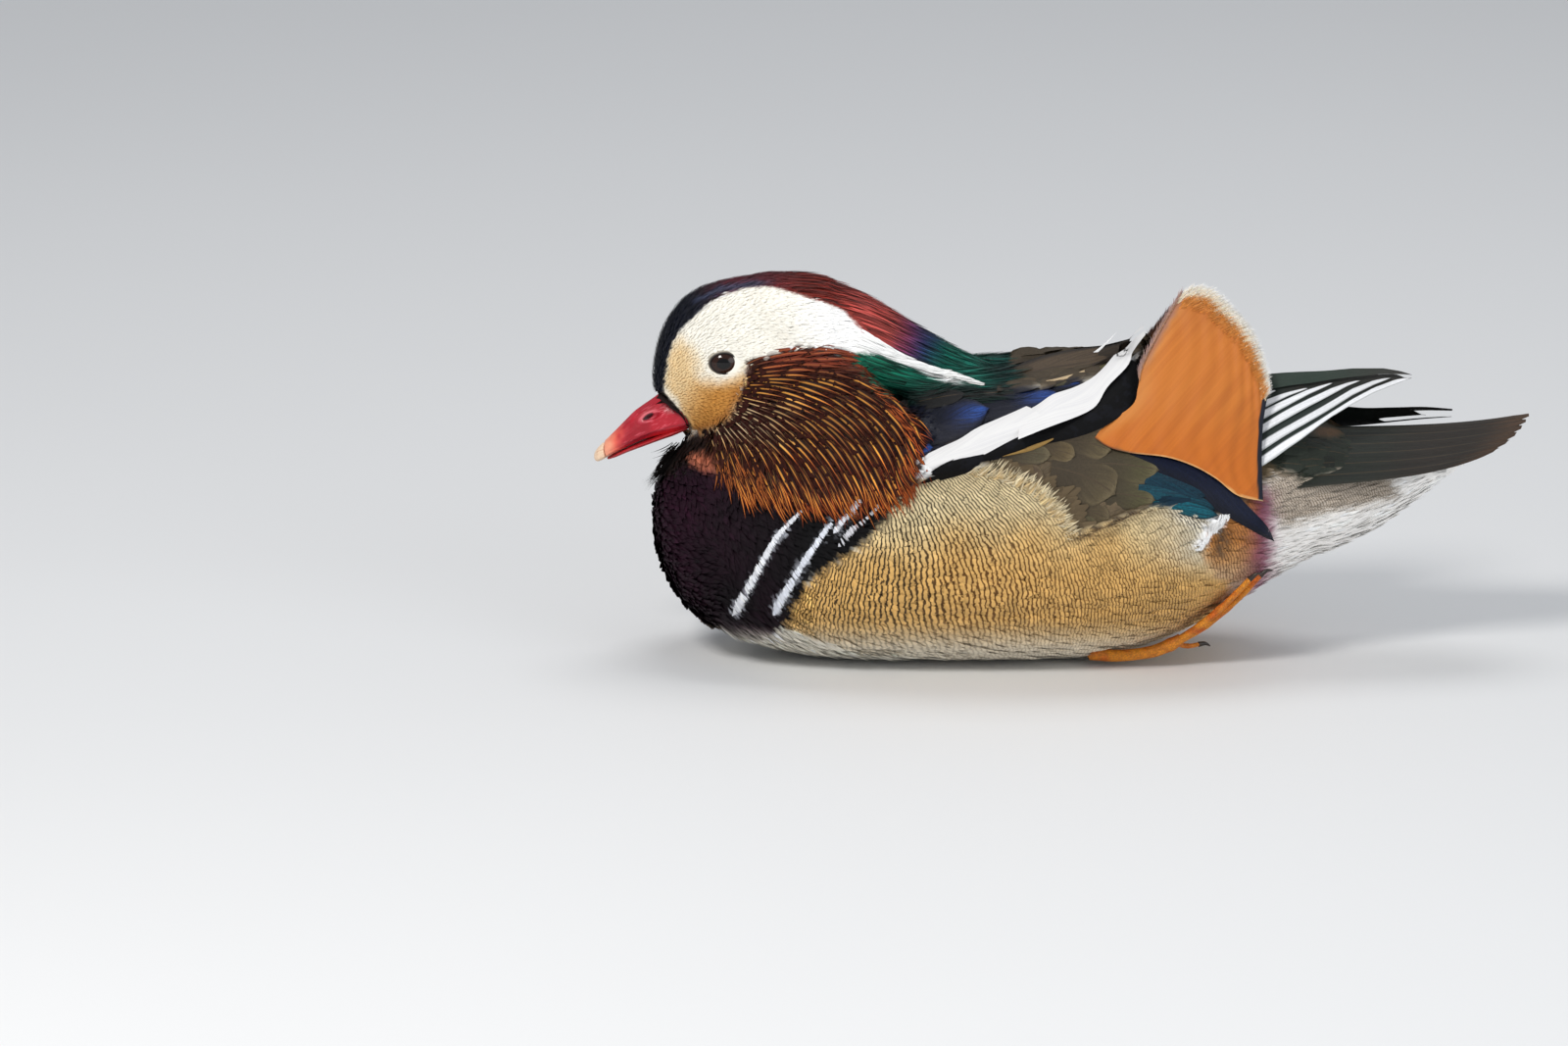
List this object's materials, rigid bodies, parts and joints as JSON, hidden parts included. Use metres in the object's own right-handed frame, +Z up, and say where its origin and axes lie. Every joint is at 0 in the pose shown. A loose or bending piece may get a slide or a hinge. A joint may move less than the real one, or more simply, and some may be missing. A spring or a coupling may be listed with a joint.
{
  "type": "mandarin duck",
  "caption": "Life-size drake mandarin duck at rest on its belly, bill forward, orange sails raised over folded wings, side whiskers fanned, feet tucked behind.",
  "frame": {"origin": "centre of the bird's box on the plane that its belly rests on", "axes": "+Z up, +X from bill to tail so the bill points along -X, -Y towards the bird's left side"},
  "size_m": [0.3539, 0.1214, 0.1471],
  "materials": {
    "body_feathers": "vermiculated buff flanks, purple-maroon breast with white bars, white belly and undertail",
    "neck_feathers": "dark maroon hackles over the throat",
    "face_feathers": "short dense feathers, cream-white brow, golden-buff lores",
    "crest_feathers": "long hair-like feathers, maroon and purple to iridescent green",
    "ruff_feathers": "long narrow side whiskers, dark maroon with golden-orange shafts",
    "wing_feathers": "olive-brown coverts with a blue-green speculum",
    "scapular_feathers": "white stripe edged with black",
    "sail_feathers": "cinnamon-orange vane with fine diagonal barbs and a pale fringe",
    "primary_feathers": "dark green vanes with silvery-white outer edges",
    "tail_feathers": "dark olive-brown stiff feathers with a green gloss",
    "bill": "crimson horn, satin gloss",
    "bill_nail": "pale cream horn",
    "eye": "wet dark brown",
    "foot_skin": "orange-yellow scaled skin",
    "claw": "dark horn"
  },
  "bodies": {
    "root": {"trunk": "body_feathers", "neck": "neck_feathers", "head": "face_feathers", "crest": "crest_feathers", "bill_upper": "bill", "bill_lower": "bill", "bill_nail": "bill_nail", "tail": "tail_feathers", "ruff_left": "ruff_feathers", "ruff_right": "ruff_feathers", "eye_left": "eye", "eye_right": "eye", "wing_left": "wing_feathers", "wing_right": "wing_feathers", "scapulars_left": "scapular_feathers", "scapulars_right": "scapular_feathers", "sail_left": "sail_feathers", "sail_right": "sail_feathers", "primaries_left": "primary_feathers", "primaries_right": "primary_feathers", "leg_left": "foot_skin", "leg_right": "foot_skin", "foot_left": "foot_skin", "foot_right": "foot_skin", "claw_outer_left": "claw", "claw_outer_right": "claw", "claw_middle_left": "claw", "claw_middle_right": "claw", "claw_inner_left": "claw", "claw_inner_right": "claw", "claw_hind_left": "claw", "claw_hind_right": "claw"}
  },
  "joints": []
}
